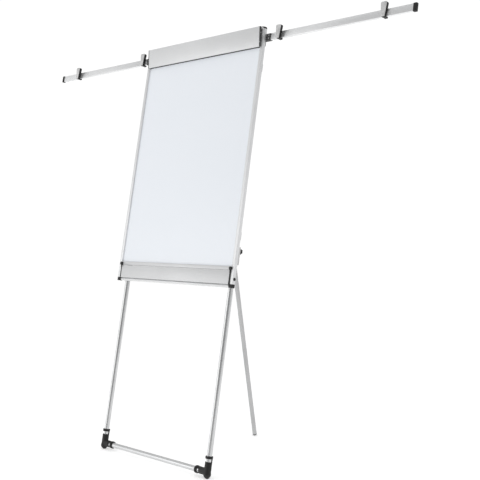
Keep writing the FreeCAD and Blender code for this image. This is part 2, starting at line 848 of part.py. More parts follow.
# ----------------------------------------------------------------------------------------
# Outer tubes and what holds the board on them
# ----------------------------------------------------------------------------------------
def make_uprights():
    inside = dim.outer_radius - dim.outer_wall
    for name, side in SIDES.items():
        x = LEG_X * side
        tube = pipe("z", dim.outer_radius, dim.outer_wall, dim.outer_bottom, dim.outer_top, (x, 0))
        holes = [
            rod("y", dim.stud_radius + dim.slide_gap, 0, dim.outer_radius * 2, (x, dim.knob_z)),
            rod("x", dim.screw_shank + dim.fit_gap, *sided(side, LEG_X, LEG_X + dim.outer_radius * 2),
                across=(0, SCREW_Z)),
        ]
        finish(cut(tube, *holes), "leg_outer_tube_" + name, on_board)
        finish(make_lock_sleeve(x), "lock_sleeve_" + name, on_board)
        knob = make_knob(x, dim.knob_z, dim.sleeve_radius + dim.boss_proud, dim.inner_radius)
        finish(knob, "lock_knob_" + name, on_board)
    caps = [make_leg_cap(LEG_X * side, inside - dim.fit_gap) for side in SIDES.values()]
    finish(group(caps), "leg_top_caps", on_board)
    cross_end = LEG_X - dim.outer_radius - dim.fit_gap
    cross = pipe("x", dim.cross_radius, dim.inner_wall, -cross_end, cross_end, (0, dim.hinge_z))
    finish(cross, "upper_cross_tube", on_board)
    spots = [(side, low) for side in SIDES.values() for low in (dim.bracket_low, dim.bracket_high)]
    finish(group(make_bracket(side, low) for side, low in spots), "board_brackets", on_board)
    finish(group(make_bracket_screw(side, low) for side, low in spots), "bracket_screws", on_board)


def make_leg_cap(x, plug_radius):
    """Cap on the top of an outer tube, with a plug that goes down inside it."""
    top = dim.outer_top
    return fuse(
        rod("z", dim.outer_radius + dim.leg_cap_lip, top, top + dim.leg_cap_height, (x, 0)),
        rod("z", plug_radius, top - dim.leg_cap_height, top, (x, 0)),
    )


def make_lock_sleeve(x):
    """Clamp sleeve at the foot of an outer tube, with a boss for the lock screw."""
    barrel = rod("z", dim.sleeve_radius, dim.sleeve_bottom, dim.sleeve_top, (x, 0))
    reach = dim.sleeve_radius * 2
    low = dim.sleeve_bottom - OVERCUT
    high = dim.sleeve_top + OVERCUT
    trim = box((x - reach, x + reach), (-dim.sleeve_flat, reach), (low, high))
    boss = rod("y", dim.boss_radius, dim.outer_radius, dim.sleeve_radius + dim.boss_proud,
               (x, dim.knob_z))
    bores = [
        rod("z", dim.inner_radius + dim.slide_gap, low, dim.sleeve_top, (x, 0)),
        rod("z", dim.outer_radius + dim.fit_gap, dim.outer_bottom, high, (x, 0)),
        rod("y", dim.stud_radius + dim.slide_gap, 0, reach, (x, dim.knob_z)),
    ]
    return cut(fuse(common(barrel, trim), boss), *bores)


def make_knob(x, z, start, tube_radius):
    """Star knob whose screw reaches to the inner tube; it turns about the y direction."""
    lobes = 6
    front = start + dim.slide_gap
    back = front + dim.knob_thickness
    head = rod("y", dim.knob_radius, front, back, (x, z))
    scallops = []
    for index in range(lobes):
        angle = 2 * math.pi * index / lobes
        centre = (x + dim.scallop_reach * math.cos(angle), z + dim.scallop_reach * math.sin(angle))
        scallops.append(rod("y", dim.scallop_radius, front - OVERCUT, back + OVERCUT, centre))
    hub = rod("y", dim.knob_hub_radius, front, back + dim.knob_hub_rise, (x, z))
    stud = rod("y", dim.stud_radius, tube_radius + dim.slide_gap, front, (x, z))
    return fuse(cut(head, *scallops), hub, stud)


def make_bracket(side, low):
    """Band round an outer tube with a flange that reaches the board's back."""
    x = LEG_X * side
    high = low + dim.bracket_height
    band = rod("z", dim.outer_radius + dim.bracket_wall, low, high, (x, 0))
    flange = box(sided(side, LEG_X - dim.bracket_reach, LEG_X),
                 front_span(dim.outer_radius + dim.fit_gap * 2, PANEL_BACK), (low, high))
    bore = rod("z", dim.outer_radius + dim.fit_gap, low - OVERCUT, high + OVERCUT, (x, 0))
    hole = rod("y", dim.screw_shank + dim.fit_gap, -dim.frame_front, 0, bracket_screw_spot(side, low))
    return cut(fuse(band, flange), bore, hole)


def bracket_screw_spot(side, low):
    return ((LEG_X - dim.bracket_screw_reach) * side, low + dim.bracket_height / 2)


def make_bracket_screw(side, low):
    spot = bracket_screw_spot(side, low)
    seat = -(dim.outer_radius + dim.fit_gap * 2)
    return fuse(rod("y", dim.screw_shank, -PANEL_BACK, seat, spot),
                rod("y", dim.screw_washer, seat, seat + dim.screw_head_height, spot))


# ----------------------------------------------------------------------------------------
# Paper arms with their sliding clips
# ----------------------------------------------------------------------------------------
def make_arms():
    low, high = dim.arm_z - HALF_ARM, dim.arm_z + HALF_ARM
    collars = []
    screws = []
    for name, side in SIDES.items():
        x = LEG_X * side
        finish(make_arm_knuckle(side, low, high), "arm_knuckle_" + name, on_board)
        rail = cut(
            box(sided(side, dim.arm_start, dim.arm_end), arm_depth(0), (low, high)),
            box(sided(side, dim.arm_start - OVERCUT, dim.arm_end + OVERCUT), arm_depth(dim.arm_wall),
                (low + dim.arm_wall, high - dim.arm_wall)))
        finish(rail, "arm_rail_" + name, on_board)
        inset = dim.arm_wall + dim.spigot_fit
        cap = fuse(
            box(sided(side, dim.arm_end, dim.arm_end + dim.arm_cap), arm_depth(-dim.arm_cap_lip),
                (low - dim.knuckle_lip, high + dim.knuckle_lip)),
            box(sided(side, dim.arm_end - dim.arm_cap_plug, dim.arm_end), arm_depth(inset),
                (low + inset, high - inset)))
        finish(cap, "arm_end_cap_" + name, on_board)
        collar_top = low - dim.slide_gap
        collar_bottom = collar_top - dim.collar_height
        collars.append(cut(
            rod("z", dim.knuckle_radius, collar_bottom, collar_top, (x, 0)),
            rod("z", dim.outer_radius + dim.fit_gap, collar_bottom - OVERCUT, collar_top + OVERCUT,
                (x, 0))))
        surface = LEG_X + dim.outer_radius
        depth = dim.screw_head_height
        screws.append(fuse(
            rod("x", dim.screw_shank, *sided(side, surface - depth, surface), across=(0, SCREW_Z)),
            rod("x", dim.screw_head, *sided(side, surface, surface + depth), across=(0, SCREW_Z))))
    clips = {
        "left_inner": -dim.clip_left_inner,
        "left_outer": -dim.clip_left_outer,
        "right_inner": dim.clip_right_inner,
        "right_outer": dim.clip_right_outer,
    }
    for name, x in clips.items():
        make_clip(x, name)
    finish(group(collars), "arm_support_collars", on_board)
    finish(group(screws), "arm_retaining_screws", on_board)


def arm_depth(inset):
    """The rail's y span, drawn in by an inset on both faces."""
    inset = plain(inset)
    return front_span(dim.arm_front - dim.arm_thickness + inset, dim.arm_front - inset)


def make_arm_knuckle(side, low, high):
    """Ring that turns on the outer tube, stepped round the frame's edge, with a spigot."""
    x = LEG_X * side
    step = HALF_BOARD + dim.knuckle_step
    inset = dim.arm_wall + dim.spigot_fit
    ring = rod("z", dim.knuckle_radius, low, high, (x, 0))
    bridge = box(sided(side, LEG_X + dim.knuckle_bridge, dim.arm_start),
                 front_span(dim.knuckle_back, dim.knuckle_radius), (low, high))
    socket = box(sided(side, step, dim.arm_start), arm_depth(-dim.knuckle_lip), (low, high))
    spigot = box(sided(side, dim.arm_start, dim.arm_start + dim.spigot_length), arm_depth(inset),
                 (low + inset, high - inset))
    bore = rod("z", dim.outer_radius + dim.slide_gap, low - OVERCUT, high + OVERCUT, (x, 0))
    return cut(fuse(ring, bridge, socket, spigot), bore)


def make_clip(x, name):
    """Clip that slides on an arm: a tapered block in front, faced with a plate, and a sleeve."""
    gap = dim.slide_gap
    back = dim.arm_front + gap
    front = back + dim.clip_block
    rear = dim.arm_front - dim.arm_thickness - gap
    low = dim.arm_z - HALF_ARM - gap
    high = dim.arm_z + HALF_ARM + gap
    half = dim.clip_sleeve / 2
    block = pad("XZ_Plane", clip_outline(x, dim.clip_setback), *front_span(back, front))
    sleeve = box((x - half, x + half), front_span(rear - dim.clip_wall, back + dim.clip_wall),
                 (dim.clip_bottom + dim.clip_setback, high + dim.clip_wall))
    channel = box((x - dim.clip_top_width, x + dim.clip_top_width), front_span(rear, back), (low, high))
    finish(cut(fuse(block, sleeve), channel), "clip_body_" + name, on_board)
    plate = pad("XZ_Plane", clip_outline(x, 0), *front_span(front, front + dim.clip_plate))
    finish(plate, "clip_plate_" + name, on_board)


def clip_outline(x, inset):
    """Front view of a clip, wider at its top, with the top corners cut off."""
    foot = dim.clip_width / 2 - inset
    top = dim.clip_top_width / 2 - inset
    high = dim.clip_top - inset
    low = dim.clip_bottom + inset
    corner = dim.clip_corner
    return [
        (x - foot, low),
        (x + foot, low),
        (x + top, high - corner),
        (x + top - corner, high),
        (x - top + corner, high),
        (x - top, high - corner),
    ]


# ----------------------------------------------------------------------------------------
# Rear leg
# ----------------------------------------------------------------------------------------
def make_rear_leg():
    finish(make_hinge_bracket(), "rear_hinge_bracket", on_board)
    finish(make_hinge_pin(), "rear_hinge_pin", on_board)
    finish(make_rear_knuckle(), "rear_leg_knuckle", on_rear_leg)
    tube = pipe("z", dim.rear_outer_radius, dim.outer_wall, -dim.rear_outer_end, -dim.rear_outer_top)
    hole = rod("y", dim.stud_radius + dim.slide_gap, 0, dim.rear_outer_radius * 2,
               (0, -dim.rear_knob_at))
    finish(cut(tube, hole), "rear_leg_outer_tube", on_rear_leg)
    finish(make_rear_sleeve(), "rear_lock_sleeve", on_rear_leg)
    knob = make_knob(plain(0), -dim.rear_knob_at, dim.rear_sleeve_radius + dim.boss_proud,
                     dim.rear_inner_radius)
    finish(knob, "rear_lock_knob", on_rear_leg)
    finish(pipe("z", dim.rear_inner_radius, dim.outer_wall, -dim.rear_inner_end, -dim.rear_inner_top),
           "rear_leg_inner_tube", on_rear_leg)
    finish(make_rear_foot(), "rear_foot", on_rear_leg)


def make_hinge_bracket():
    """Block round the cross tube with two ears that hold the rear leg's pin."""
    z = dim.hinge_z
    axis = (dim.hinge_behind, z)
    ear = (dim.ear_inner, dim.ear_inner + dim.ear_thickness)
    wide = dim.block_half_width
    radius = dim.hinge_ear_radius
    parts = [box((-wide, wide), (-dim.block_front, dim.block_back),
                 (z - dim.block_half_height, z + dim.block_half_height))]
    for side in SIDES.values():
        parts.append(box(sided(side, *ear), (0, dim.hinge_behind), (z - radius, z + radius)))
        parts.append(rod("x", radius, *sided(side, *ear), across=axis))
    tube_bore = rod("x", dim.cross_radius + dim.fit_gap, -wide * 2, wide * 2, (0, z))
    pin_bore = rod("x", dim.pin_radius + dim.fit_gap, -wide * 2, wide * 2, axis)
    return cut(fuse(*parts), tube_bore, pin_bore)


def make_hinge_pin():
    axis = (dim.hinge_behind, dim.hinge_z)
    end = dim.ear_inner + dim.ear_thickness + dim.fit_gap
    heads = [rod("x", dim.pin_head_radius, *sided(side, end, end + dim.pin_head_height), across=axis)
             for side in SIDES.values()]
    return fuse(rod("x", dim.pin_radius, -end, end, axis), *heads)


def make_rear_knuckle():
    """Moulded top of the rear leg: a barrel on the pin and a socket for the tube."""
    half = dim.ear_inner - dim.slide_gap
    solid = fuse(
        rod("x", dim.knuckle_barrel, -half, half),
        box((-half, half), (-dim.hinge_ear_radius, dim.hinge_ear_radius), (-dim.knuckle_neck, plain(0))),
        rod("z", dim.knuckle_socket, -dim.knuckle_end, dim.knuckle_overlap - dim.knuckle_neck),
    )
    bores = [
        rod("x", dim.pin_radius + dim.fit_gap, -half * 2, half * 2),
        rod("z", dim.rear_outer_radius + dim.fit_gap, -dim.knuckle_end - OVERCUT, -dim.rear_outer_top),
    ]
    return cut(solid, *bores)


def make_rear_sleeve():
    z = -dim.rear_knob_at
    end, start = -dim.rear_sleeve_end, -dim.rear_sleeve_start
    solid = fuse(
        rod("z", dim.rear_sleeve_radius, end, start),
        rod("y", dim.boss_radius, dim.rear_outer_radius, dim.rear_sleeve_radius + dim.boss_proud,
            (0, z)),
    )
    bores = [
        rod("z", dim.rear_inner_radius + dim.slide_gap, end - OVERCUT, start),
        rod("z", dim.rear_outer_radius + dim.fit_gap, -dim.rear_outer_end, start + OVERCUT),
        rod("y", dim.stud_radius + dim.slide_gap, 0, dim.rear_sleeve_radius * 2, (0, z)),
    ]
    return cut(solid, *bores)


def make_rear_foot():
    """Rubber tip of the leg: a plug inside the tube and a rounded end, flat where it stands."""
    end = -dim.rear_inner_end
    reach = dim.foot_radius * 2
    inside = dim.rear_inner_radius - dim.outer_wall - dim.fit_gap
    above = box((-reach, reach), (-reach, reach), (end, end + reach))
    tip = cut(ball(dim.foot_radius, 0, 0, FOOT_Z), above)
    plug = rod("z", inside, end - dim.foot_overlap, end + dim.foot_plug)
    flat = toward_floor(reach, reach, 0, -SIN_REAR * dim.foot_lift, FOOT_Z - COS_REAR * dim.foot_lift,
                        -dim.rear_tilt)
    return cut(fuse(tip, plug), flat)


# ----------------------------------------------------------------------------------------
# Build, check, export
# ----------------------------------------------------------------------------------------
make_stand()
make_board()
make_tray()
make_clamp()
make_uprights()
make_arms()
make_rear_leg()
doc.recompute()

for item in doc.Objects:
    if "Invalid" in item.State or "Error" in item.State:
        raise RuntimeError("%s (%s) did not compute: %s" % (item.Name, item.Label, item.State))
for piece in finished:
    shape = piece.Shape
    if shape.isNull() or not shape.isValid() or not shape.Solids:
        raise RuntimeError("%s has no valid solid" % piece.Label)
for piece in finished:
    piece.Shape.exportStep("parts/%s.step" % piece.Label)
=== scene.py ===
"""Flipchart easel: finish, small fittings, floor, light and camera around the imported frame."""
import json
import math

import bmesh
import bpy
from mathutils import Matrix, Vector


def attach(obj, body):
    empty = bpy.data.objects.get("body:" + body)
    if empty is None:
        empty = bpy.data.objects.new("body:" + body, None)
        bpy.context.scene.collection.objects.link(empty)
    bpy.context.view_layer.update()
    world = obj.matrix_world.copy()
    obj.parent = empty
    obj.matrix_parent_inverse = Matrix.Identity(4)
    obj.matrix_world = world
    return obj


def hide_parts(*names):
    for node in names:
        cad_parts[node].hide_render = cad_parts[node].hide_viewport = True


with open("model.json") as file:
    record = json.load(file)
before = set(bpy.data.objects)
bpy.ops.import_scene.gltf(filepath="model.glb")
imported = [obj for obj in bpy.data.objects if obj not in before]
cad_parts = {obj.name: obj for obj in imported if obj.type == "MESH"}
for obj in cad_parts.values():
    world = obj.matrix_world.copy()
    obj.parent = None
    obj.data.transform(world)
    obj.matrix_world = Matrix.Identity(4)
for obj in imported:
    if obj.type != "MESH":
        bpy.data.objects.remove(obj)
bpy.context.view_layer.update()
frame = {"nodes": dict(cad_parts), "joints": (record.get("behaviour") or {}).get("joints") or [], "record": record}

MM = 0.001
TURN = 2.0 * math.pi
X = Vector((1.0, 0.0, 0.0))
Z = Vector((0.0, 0.0, 1.0))
JOINTS = {joint["name"]: joint for joint in frame["joints"]}
SLOT_OF = {part["node"]: part["material_slot"] for part in frame["record"]["subparts"]}
BODY_OF = {node: body for body, nodes in frame["record"]["behaviour"]["bodies"].items()
           for node in nodes}
SIDES = {"left": -1.0, "right": 1.0}


def halfway(first, second):
    return (first + second) / 2.0


def box_round(points):
    """Lowest and highest corner of the box round some points."""
    low = Vector([min(point[i] for point in points) for i in range(3)])
    high = Vector([max(point[i] for point in points) for i in range(3)])
    return low, high


class Lean:
    """A frame that leans about X, as a leg does. Its coordinates are x, front and up, in metres."""

    def __init__(self, up):
        self.up = Vector(up).normalized()
        if self.up.z < 0:
            self.up = -self.up
        self.front = X.cross(self.up)

    def at(self, x, front, up):
        return X * x + self.front * front + self.up * up

    def measure(self, point):
        return Vector((point.x, point.dot(self.front), point.dot(self.up)))

    def span(self, node):
        """Lowest and highest corner of a CAD node in this frame."""
        return box_round([self.measure(vertex.co) for vertex in frame["nodes"][node].data.vertices])


LEGS = Lean(JOINTS["board_height"]["axis"])
REAR = Lean(JOINTS["rear_leg_length"]["axis"])
TILT = math.asin(LEGS.up.y)


# ---------------------------------------------------------------- camera

CAMERA_PLACE = (2.5146, -2.5302, 0.9391)
CAMERA_HEADING = math.radians(42.58)
CAMERA_PITCH = math.radians(-0.454)
CAMERA_ROLL = math.radians(0.436)
FOCAL_LENGTH = 61.25
SENSOR_WIDTH = 36.0


def make_camera():
    forward = Vector((-math.sin(CAMERA_HEADING) * math.cos(CAMERA_PITCH),
                      math.cos(CAMERA_HEADING) * math.cos(CAMERA_PITCH),
                      math.sin(CAMERA_PITCH)))
    level_right = forward.cross(Z).normalized()
    level_up = level_right.cross(forward)
    right = level_right * math.cos(CAMERA_ROLL) + level_up * math.sin(CAMERA_ROLL)
    up = level_up * math.cos(CAMERA_ROLL) - level_right * math.sin(CAMERA_ROLL)
    data = bpy.data.cameras.new("camera")
    data.sensor_width = SENSOR_WIDTH
    data.lens = FOCAL_LENGTH
    data.clip_start = 0.1
    data.clip_end = 60.0
    camera = bpy.data.objects.new("camera", data)
    place = Matrix((right, up, -forward)).transposed().to_4x4()
    place.translation = Vector(CAMERA_PLACE)
    camera.matrix_world = place
    bpy.context.scene.collection.objects.link(camera)
    bpy.context.scene.camera = camera


make_camera()


# ---------------------------------------------------------------- materials

class Paint:
    """A node material under construction: add() makes a node, link() feeds the shader."""

    def __init__(self, name, roughness=0.5, metallic=0.0, **constants):
        self.material = bpy.data.materials.new(name)
        self.material.use_nodes = True
        self.tree = self.material.node_tree
        self.shader = self.tree.nodes["Principled BSDF"]
        self.shader.inputs["Roughness"].default_value = roughness
        self.shader.inputs["Metallic"].default_value = metallic
        for socket, value in constants.items():
            self.shader.inputs[socket.replace("_", " ")].default_value = value
        self.place = self.tree.nodes.new("ShaderNodeTexCoord").outputs["Object"]

    def feed(self, value, socket):
        """Link a node's output to a socket, or set the socket to a plain value."""
        if isinstance(value, bpy.types.NodeSocket):
            self.tree.links.new(value, socket)
        else:
            socket.default_value = value

    def add(self, kind, settings=None, **inputs):
        node = self.tree.nodes.new("ShaderNode" + kind)
        for key, value in (settings or {}).items():
            setattr(node, key, value)
        for key, value in inputs.items():
            self.feed(value, node.inputs[key.replace("_", " ")])
        return node

    def link(self, output, socket):
        self.tree.links.new(output, self.shader.inputs[socket])

    def stretched(self, scale):
        """The object's place turned upright and stretched by the three scales, per metre."""
        turned_place = self.add("Mapping", Vector=self.place, Rotation=(TILT, 0.0, 0.0))
        stretched_place = self.add("Mapping", Vector=turned_place.outputs["Vector"], Scale=scale)
        return stretched_place.outputs["Vector"]

    def noise(self, scale, detail=3.0, vector=None):
        node = self.add("TexNoise", Vector=vector or self.place, Scale=scale, Detail=detail)
        return node.outputs["Fac"]

    def remap(self, value, low, high, start=0.3, end=0.7):
        """The value run from low to high while it goes from start to end."""
        node = self.add("MapRange", Value=value, From_Min=start, From_Max=end,
                        To_Min=low, To_Max=high)
        return node.outputs["Result"]

    def mix(self, amount, first, second):
        node = self.tree.nodes.new("ShaderNodeMix")
        node.data_type = "RGBA"
        sockets = {socket.identifier: socket for socket in node.inputs}
        self.feed(amount, sockets["Factor_Float"])
        self.feed(first, sockets["A_Color"])
        self.feed(second, sockets["B_Color"])
        return {socket.identifier: socket for socket in node.outputs}["Result_Color"]

    def combine(self, kind, operation, first, second):
        """The value of a maths node with two inputs."""
        node = self.add(kind, {"operation": operation})
        self.tree.links.new(first, node.inputs[0])
        self.tree.links.new(second, node.inputs[1])
        return node.outputs["Value"]

    def edges(self, radius):
        """1 along sharp edges and 0 on flats, broken up by noise, for worn edges."""
        sharpest = 0.35
        patch_scale = 220.0
        rounded_normal = self.add("Bevel", {"samples": 4}, Radius=radius).outputs["Normal"]
        flat_normal = self.add("NewGeometry").outputs["Normal"]
        along = self.combine("VectorMath", "DOT_PRODUCT", rounded_normal, flat_normal)
        sharp = self.remap(along, 1.0, 0.0, 1.0 - sharpest, 1.0)
        patches = self.remap(self.noise(patch_scale, 4.0), 0.0, 1.0, 0.35, 0.65)
        return self.combine("Math", "MULTIPLY", sharp, patches)

    def bump(self, height, strength, distance):
        node = self.add("Bump", Height=height, Strength=strength, Distance=distance)
        self.link(node.outputs["Normal"], "Normal")


def grey(level, tint=0.0):
    """A neutral colour, a little bluer by tint."""
    return (level * (1.0 - tint), level, level * (1.0 + tint), 1.0)


def drawn_metal(name, light, dark, along, roughness, metallic, streak=0.16, relief=0.12):
    """Drawn or extruded metal whose grain runs along x or up the lean."""
    blue = 0.008
    fine, long = 1300.0, 26.0
    cloud_scale = 9.0
    streak_shade = 0.85
    worn_shade = 1.12
    worn_width = 0.8 * MM
    grain_depth = 0.1 * MM
    paint = Paint(name, metallic=metallic)
    scale = (long, fine, fine) if along == "x" else (fine, fine, long)
    grain = paint.noise(1.0, 2.0, paint.stretched(scale))
    cloud = paint.noise(cloud_scale)
    tone = paint.mix(paint.remap(cloud, 0.0, 1.0), grey(dark, blue), grey(light, blue))
    streaked = paint.mix(paint.remap(grain, 0.0, streak), tone, grey(dark * streak_shade, blue))
    worn = paint.mix(paint.edges(worn_width), streaked, grey(min(1.0, light * worn_shade)))
    paint.link(worn, "Base Color")
    paint.link(paint.remap(grain, *roughness), "Roughness")
    paint.bump(grain, relief, grain_depth)
    return paint.material


def moulded_plastic(name, level, roughness=(0.42, 0.6), wear=0.1):
    """Injection-moulded plastic with spark-eroded grain and rubbed edges; wear lightens them."""
    grain_scale, cloud_scale = 1400.0, 35.0
    dark_share, light_share = 0.85, 1.2
    worn_width = 1.0 * MM
    grain_relief, grain_depth = 0.25, 0.08 * MM
    paint = Paint(name, IOR=1.46)
    grain = paint.noise(grain_scale, 2.0)
    cloud = paint.noise(cloud_scale, 4.0)
    tone = paint.mix(paint.remap(cloud, 0.0, 1.0), grey(level * dark_share),
                     grey(level * light_share))
    worn = paint.mix(paint.edges(worn_width), tone, grey(level + wear))
    paint.link(worn, "Base Color")
    paint.link(paint.remap(cloud, *roughness), "Roughness")
    paint.bump(grain, grain_relief, grain_depth)
    return paint.material


def lacquered_board():
    """White lacquered steel: orange peel in the gloss, dust specks and faint traces of wiping."""
    wiped_scale = (2.0, 2.0, 9.0)
    speck_scale, peel_scale = 420.0, 240.0
    speck_most = 0.1
    speck_start, speck_end = 0.68, 0.8
    wiped_dark, wiped_light = (0.905, 0.942, 0.992, 1.0), (0.914, 0.949, 0.998, 1.0)
    dust_colour = (0.7, 0.71, 0.73, 1.0)
    peel_relief, peel_depth = 0.02, 0.05 * MM
    paint = Paint("lacquered_board", Coat_Weight=0.3, Coat_Roughness=0.3, IOR=1.45)
    wiped = paint.noise(1.0, 2.0, paint.stretched(wiped_scale))
    speck = paint.noise(speck_scale, 2.0)
    clean = paint.mix(paint.remap(wiped, 0.0, 1.0), wiped_dark, wiped_light)
    dusty = paint.mix(paint.remap(speck, 0.0, speck_most, speck_start, speck_end), clean,
                      dust_colour)
    paint.link(dusty, "Base Color")
    paint.link(paint.remap(speck, 0.28, 0.36), "Roughness")
    paint.bump(paint.noise(peel_scale, 1.0), peel_relief, peel_depth)
    return paint.material


def black_rubber():
    """Dusty black rubber, paler where its edges rub."""
    grain_scale, dust_scale = 900.0, 60.0
    rubber_colour, dust_colour = (0.016, 0.016, 0.017, 1.0), (0.07, 0.068, 0.065, 1.0)
    dust_most = 0.5
    worn_level, worn_width = 0.11, 1.5 * MM
    grain_relief, grain_depth = 0.35, 0.12 * MM
    paint = Paint("black_rubber_finish", IOR=1.5)
    grain = paint.noise(grain_scale, 3.0)
    dust = paint.noise(dust_scale, 5.0)
    tone = paint.mix(paint.remap(dust, 0.0, dust_most), rubber_colour, dust_colour)
    worn = paint.mix(paint.edges(worn_width), tone, grey(worn_level))
    paint.link(worn, "Base Color")
    paint.link(paint.remap(dust, 0.62, 0.85), "Roughness")
    paint.bump(grain, grain_relief, grain_depth)
    return paint.material


def fibre_board():
    """The board's core, seen only at its edges: pressed fibres."""
    fibre_scale = (60.0, 60.0, 900.0)
    dark_fibre, light_fibre = (0.3, 0.22, 0.14, 1.0), (0.62, 0.52, 0.38, 1.0)
    fibre_relief, fibre_depth = 0.4, 0.2 * MM
    paint = Paint("fibre_board", roughness=0.9)
    fibres = paint.noise(1.0, 5.0, paint.stretched(fibre_scale))
    paint.link(paint.mix(fibres, dark_fibre, light_fibre), "Base Color")
    paint.bump(fibres, fibre_relief, fibre_depth)
    return paint.material


# Drawn metals: name, lightest and darkest grey, way of the grain, roughness from and to, metallic.
FINISH = {
    "silver_x": drawn_metal("anodised_across", 0.77, 0.735, "x", (0.4, 0.52), 0.35),
    # A darker copy of the anodised aluminium, painted shade on the tray and the frame's bottom profile; it is the
    # same metal as the rest of the frame.
    "tray_x_painted_shade": drawn_metal("anodised_tray_painted_shade", 0.7, 0.665, "x", (0.42, 0.54), 0.35),
    "silver_up": drawn_metal("anodised_upright", 0.78, 0.74, "up", (0.4, 0.52), 0.45),
    "rail_x": drawn_metal("bright_rail", 0.86, 0.82, "x", (0.3, 0.36), 0.8, streak=0.08,
                          relief=0.03),
    "tube_x": drawn_metal("satin_tube_across", 0.68, 0.62, "x", (0.24, 0.34), 0.85),
    "tube_up": drawn_metal("satin_tube_upright", 0.68, 0.62, "up", (0.14, 0.22), 0.85),
    # A darker copy of the upright satin tube, painted shade on the rear leg; it is the same metal as the other
    # tubes.
    "rear_tube_painted_shade": drawn_metal("satin_rear_tube_painted_shade", 0.52, 0.47, "up", (0.24, 0.34), 0.85),
    "back_sheet": drawn_metal("mill_finish_sheet", 0.62, 0.56, "x", (0.4, 0.52), 0.6),
    "steel": drawn_metal("bright_steel", 0.6, 0.5, "up", (0.22, 0.36), 1.0),
    "black": moulded_plastic("black_moulding", 0.007, (0.46, 0.6), wear=0.025),
    "dark_grey": moulded_plastic("dark_grey_moulding", 0.045, wear=0.06),
    "light_grey": moulded_plastic("light_grey_moulding", 0.58, (0.38, 0.5)),
    "board": lacquered_board(),
    "rubber": black_rubber(),
    "core": fibre_board(),
}
ACROSS = {"arm_rail_left", "arm_rail_right", "bottom_tube", "clamp_bar", "clamp_rail",
          "frame_profile_bottom", "frame_profile_top", "tray_profile", "tray_hinge_rail",
          "upper_cross_tube"}
PLAIN_FINISH = {"black_plastic": "black", "dark_grey_plastic": "dark_grey",
                "light_grey_plastic": "light_grey", "white_steel": "board",
                "board_core_material": "core", "back_sheet_metal": "back_sheet",
                "black_rubber": "rubber", "steel": "steel"}


def finish_of(node):
    """Name of the finish that a CAD node's slot asks for, with the grain along the piece; the tray, the frame's
    bottom profile and the rear leg's tubes get darker copies as painted shade.
    """
    slot = SLOT_OF[node]
    if slot in PLAIN_FINISH:
        return PLAIN_FINISH[slot]
    if node.startswith("arm_rail"):
        return "rail_x"
    # The tray and the frame's bottom profile take the darker copy of the anodised aluminium: painted shade.
    if node in ("tray_profile", "frame_profile_bottom"):
        return "tray_x_painted_shade"
    # The rear leg's tubes take the darker copy of the satin tube: painted shade, not a different metal.
    if node.startswith("rear_leg") and node.endswith("tube"):
        return "rear_tube_painted_shade"
    stem = "silver" if slot == "silver_aluminium" else "tube"
    return stem + ("_x" if node in ACROSS else "_up")


for node_name, node_object in frame["nodes"].items():
    node_object.data.materials.clear()
    node_object.data.materials.append(FINISH[finish_of(node_name)])


# ---------------------------------------------------------------- making pieces

CREASE_ANGLE = math.radians(32.0)
SHARP_ANGLE = math.radians(40.0)
FLAT_ANGLE = math.radians(0.5)
SAME_PLACE = 0.01 * MM
BEVEL_STEPS = 2


def add_piece(name, shape, finish, body, stands_for=()):
    """Turn a bmesh into an object that rides on a body, smooth except along its creases."""
    bmesh.ops.recalc_face_normals(shape, faces=shape.faces[:])
    mesh = bpy.data.meshes.new(name)
    shape.to_mesh(mesh)
    shape.free()
    mesh.shade_smooth()
    mesh.set_sharp_from_angle(angle=CREASE_ANGLE)
    mesh.materials.append(FINISH[finish])
    made = bpy.data.objects.new(name, mesh)
    bpy.context.scene.collection.objects.link(made)
    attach(made, body)
    if stands_for:
        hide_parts(*stands_for)


def add_like(node, name, shape, finish, stands_for=()):
    """A piece on the body of a CAD node."""
    add_piece(name, shape, finish, BODY_OF[node], stands_for)


def welded(node):
    """The CAD node as a bmesh whose faces share their corners."""
    shape = bmesh.new()
    shape.from_mesh(frame["nodes"][node].data)
    bmesh.ops.remove_doubles(shape, verts=shape.verts[:], dist=SAME_PLACE)
    return shape


def add_rounded(node, radius):
    """The CAD node with its sharp edges rounded off, standing for the node."""
    shape = welded(node)
    bmesh.ops.dissolve_limit(shape, angle_limit=FLAT_ANGLE, verts=shape.verts[:],
                             edges=shape.edges[:])
    sharp = [edge for edge in shape.edges
             if len(edge.link_faces) == 2 and edge.calc_face_angle() > SHARP_ANGLE]
    bmesh.ops.bevel(shape, geom=sharp, offset=radius, offset_type="OFFSET", segments=BEVEL_STEPS,
                    profile=0.5, affect="EDGES", clamp_overlap=True)
    add_like(node, node + "_rounded", shape, finish_of(node), (node,))


def islands(node):
    """Spans of the loose pieces of a CAD node in the legs' frame, as (low, high) pairs."""
    shape = welded(node)
    left = set(shape.verts)
    spans = []
    for start in shape.verts:
        if start not in left:
            continue
        left.discard(start)
        queue, found = [start], [start]
        while queue:
            for edge in queue.pop().link_edges:
                for vertex in edge.verts:
                    if vertex in left:
                        left.discard(vertex)
                        queue.append(vertex)
                        found.append(vertex)
        spans.append(box_round([LEGS.measure(vertex.co) for vertex in found]))
    shape.free()
    return spans


def across(axis):
    """The axis at unit length and two directions square to it."""
    axis = axis.normalized()
    first = axis.orthogonal().normalized()
    return axis, first, axis.cross(first)


def circle(steps):
    """Cosine and sine at equal steps round a circle."""
    angles = [TURN * index / steps for index in range(steps)]
    return [(math.cos(angle), math.sin(angle)) for angle in angles]


def skin(shape, rings, start=True, end=True):
    """Faces between rings with equally many corners, and over the first and the last ring."""
    for lower, upper in zip(rings, rings[1:]):
        for index in range(len(lower)):
            after = (index + 1) % len(lower)
            shape.faces.new((lower[index], lower[after], upper[after], upper[index]))
    if start:
        shape.faces.new(rings[0][::-1])
    if end:
        shape.faces.new(rings[-1])


